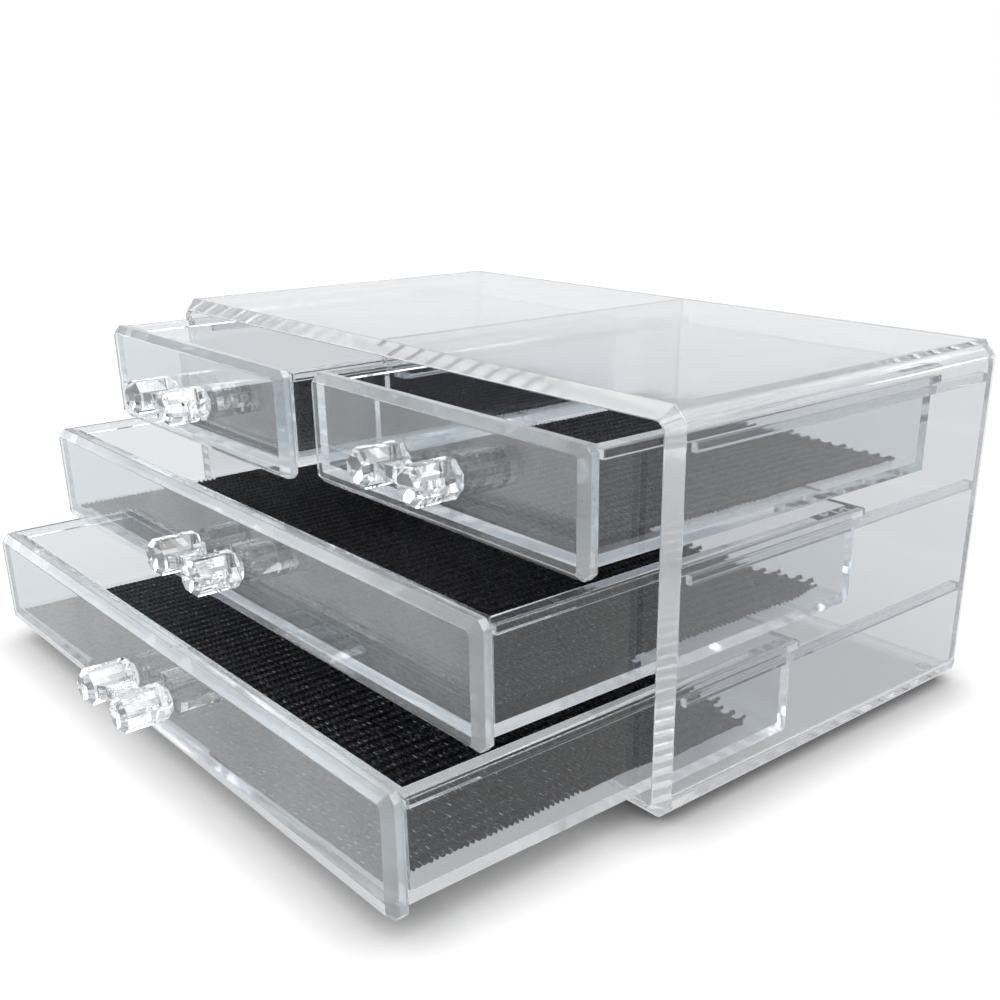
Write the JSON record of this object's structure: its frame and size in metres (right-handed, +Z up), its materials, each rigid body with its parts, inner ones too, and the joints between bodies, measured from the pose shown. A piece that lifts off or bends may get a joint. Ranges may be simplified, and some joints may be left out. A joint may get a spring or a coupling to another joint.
{
  "type": "drawer organizer",
  "caption": "Clear bevelled case with a wide bottom drawer, a wide middle drawer and a pair of half-width top drawers on side runners, each with a two-knob handle and a black mesh liner.",
  "frame": {"origin": "in the plane that the feet rest on, at the middle of the width and of the depth over everything, from the foremost handle to the back of the case, with the drawers drawn out as in the picture", "axes": "+X to the right as seen from the front, +Y to the back of the case, +Z up; the drawers open towards -Y"},
  "size_m": [0.24, 0.2256, 0.1062],
  "materials": {
    "clear_case": "polished clear acrylic",
    "clear_drawer": "polished clear acrylic",
    "clear_handle": "polished clear acrylic, faceted",
    "black_mesh": "soft open mesh, matt black"
  },
  "bodies": {
    "case": {"case_sleeve": "clear_case", "back_panel": "clear_case", "top_divider": "clear_case", "runner_bottom_left": "clear_case", "runner_bottom_right": "clear_case", "runner_middle_left": "clear_case", "runner_middle_right": "clear_case", "runner_top_left": "clear_case", "runner_top_right": "clear_case", "divider_runner_left": "clear_case", "divider_runner_right": "clear_case", "foot_front_left": "clear_case", "foot_front_right": "clear_case", "foot_back_left": "clear_case", "foot_back_right": "clear_case"},
    "drawer_bottom": {"bottom_tray": "clear_drawer", "bottom_front": "clear_drawer", "bottom_handle": "clear_handle", "bottom_liner": "black_mesh"},
    "drawer_middle": {"middle_tray": "clear_drawer", "middle_front": "clear_drawer", "middle_handle": "clear_handle", "middle_liner": "black_mesh"},
    "drawer_top_left": {"top_left_tray": "clear_drawer", "top_left_front": "clear_drawer", "top_left_handle": "clear_handle", "top_left_liner": "black_mesh"},
    "drawer_top_right": {"top_right_tray": "clear_drawer", "top_right_front": "clear_drawer", "top_right_handle": "clear_handle", "top_right_liner": "black_mesh"}
  },
  "joints": [
    {"name": "bottom_drawer_slide", "type": "slide", "parent": "case", "child": "drawer_bottom", "axis": [0, -1, 0], "range_m": [-0.0763, 0.029]},
    {"name": "middle_drawer_slide", "type": "slide", "parent": "case", "child": "drawer_middle", "axis": [0, -1, 0], "range_m": [-0.0523, 0.053]},
    {"name": "top_left_drawer_slide", "type": "slide", "parent": "case", "child": "drawer_top_left", "axis": [0, -1, 0], "range_m": [-0.0288, 0.0765]},
    {"name": "top_right_drawer_slide", "type": "slide", "parent": "case", "child": "drawer_top_right", "axis": [0, -1, 0], "range_m": [-0.0223, 0.083]}
  ]
}
